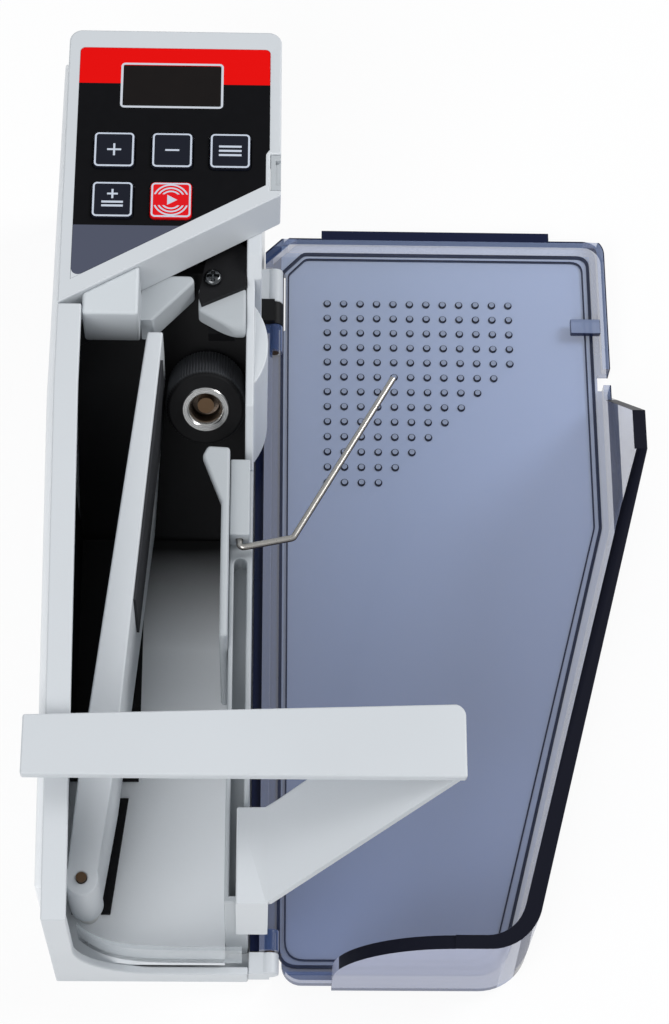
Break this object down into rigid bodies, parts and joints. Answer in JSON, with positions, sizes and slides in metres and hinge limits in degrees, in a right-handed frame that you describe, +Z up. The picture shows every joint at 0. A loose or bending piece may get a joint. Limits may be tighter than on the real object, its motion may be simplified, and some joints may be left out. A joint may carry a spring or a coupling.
{
  "type": "banknote counter",
  "caption": "Portable banknote counter with a fold-out clear tray, a note bracket, a feed roller with a press lever, and a head with keys and a display.",
  "frame": {"origin": "on the table under the middle of the head's width and of the body's length", "axes": "+X across the body towards the tray, +Y along the body towards the key panel, +Z up"},
  "size_m": [0.1828, 0.2729, 0.1059],
  "materials": {
    "white_plastic": "fine matt moulding",
    "grey_plastic": "matt moulding",
    "black_plastic": "matt moulding",
    "clear_plastic": "polished smoke-clear moulding",
    "film": "thin clear strip",
    "overlay_print": "printed film",
    "lens": "dark polished window",
    "blue_key": "satin",
    "red_key": "satin",
    "rubber": "matt rubber",
    "steel": "turned",
    "brass": "drawn",
    "board": "coated board",
    "cell": "sleeved cell"
  },
  "bodies": {
    "housing": {"base_shell": "white_plastic", "left_side_cover": "white_plastic", "head_cover": "white_plastic", "feed_housing": "white_plastic", "hopper_right_wall": "white_plastic", "hopper_floor": "grey_plastic", "hopper_liner": "black_plastic", "front_guide": "film", "left_guide": "white_plastic", "upper_guide": "white_plastic", "lower_guide": "white_plastic", "feed_cap": "black_plastic", "panel_overlay": "overlay_print", "display_window": "lens", "display_module": "black_plastic", "control_board": "board", "key_switches": "black_plastic", "feed_plate": "black_plastic", "motor": "steel", "shaft_bush": "brass", "count_sensor": "black_plastic", "lever_pin": "brass", "lever_spring": "steel", "wire_bush": "white_plastic", "hinge_pins": "brass", "hinge_block": "black_plastic", "latch_catch": "grey_plastic", "battery_holder": "black_plastic", "batteries": "cell", "dc_jack": "black_plastic", "feet": "rubber", "guide_screw": "steel", "board_screws": "steel"},
    "tray": {"tray": "clear_plastic", "tray_latch": "clear_plastic"},
    "bracket": {"note_bracket": "white_plastic"},
    "wire": {"wire_finger": "steel"},
    "lever": {"press_lever": "white_plastic", "lever_pad": "rubber"},
    "rotor": {"motor_shaft": "steel", "roller_hub": "steel", "feed_roller": "rubber"},
    "key_plus": {"key_plus": "blue_key"},
    "key_minus": {"key_minus": "blue_key"},
    "key_batch": {"key_batch": "blue_key"},
    "key_add": {"key_add": "blue_key"},
    "key_start": {"key_start": "red_key"},
    "door": {"battery_door": "white_plastic"}
  },
  "joints": [
    {"name": "tray_hinge", "type": "hinge", "parent": "housing", "child": "tray", "pos_m": [0.0314, 0, 0.0066], "axis": [0, -1, 0], "range_deg": [0, 90]},
    {"name": "bracket_lift", "type": "slide", "parent": "housing", "child": "bracket", "axis": [0, 0, 1], "range_m": [0, 0.14]},
    {"name": "wire_pivot", "type": "hinge", "parent": "housing", "child": "wire", "pos_m": [0.0212, -0.006, 0.062], "axis": [0, -1, 0], "range_deg": [0, 90]},
    {"name": "lever_pivot", "type": "hinge", "parent": "housing", "child": "lever", "pos_m": [-0.0228, -0.1175, 0.03], "axis": [0, 0, 1], "range_deg": [0, 6], "stiffness_Nm_per_rad": 0.05},
    {"name": "roller_spin", "type": "hinge", "parent": "housing", "child": "rotor", "pos_m": [0.0104, 0.0251, 0.065], "axis": [0, -0.766, 0.6428], "continuous": true},
    {"name": "battery_door_slide", "type": "slide", "parent": "housing", "child": "door", "axis": [0, 1, 0], "range_m": [0, 0.07]},
    {"name": "key_plus_press", "type": "slide", "parent": "housing", "child": "key_plus", "axis": [0, 0, -1], "range_m": [0, 0.0006], "stiffness_N_per_m": 800},
    {"name": "key_minus_press", "type": "slide", "parent": "housing", "child": "key_minus", "axis": [0, 0, -1], "range_m": [0, 0.0006], "stiffness_N_per_m": 800},
    {"name": "key_batch_press", "type": "slide", "parent": "housing", "child": "key_batch", "axis": [0, 0, -1], "range_m": [0, 0.0006], "stiffness_N_per_m": 800},
    {"name": "key_add_press", "type": "slide", "parent": "housing", "child": "key_add", "axis": [0, 0, -1], "range_m": [0, 0.0006], "stiffness_N_per_m": 800},
    {"name": "key_start_press", "type": "slide", "parent": "housing", "child": "key_start", "axis": [0, 0, -1], "range_m": [0, 0.0006], "stiffness_N_per_m": 800}
  ],
  "couplings": [
    {"joint": "bracket_lift", "follows": "tray_hinge", "m_per_rad": 0.089},
    {"joint": "wire_pivot", "follows": "tray_hinge", "ratio": 1}
  ]
}
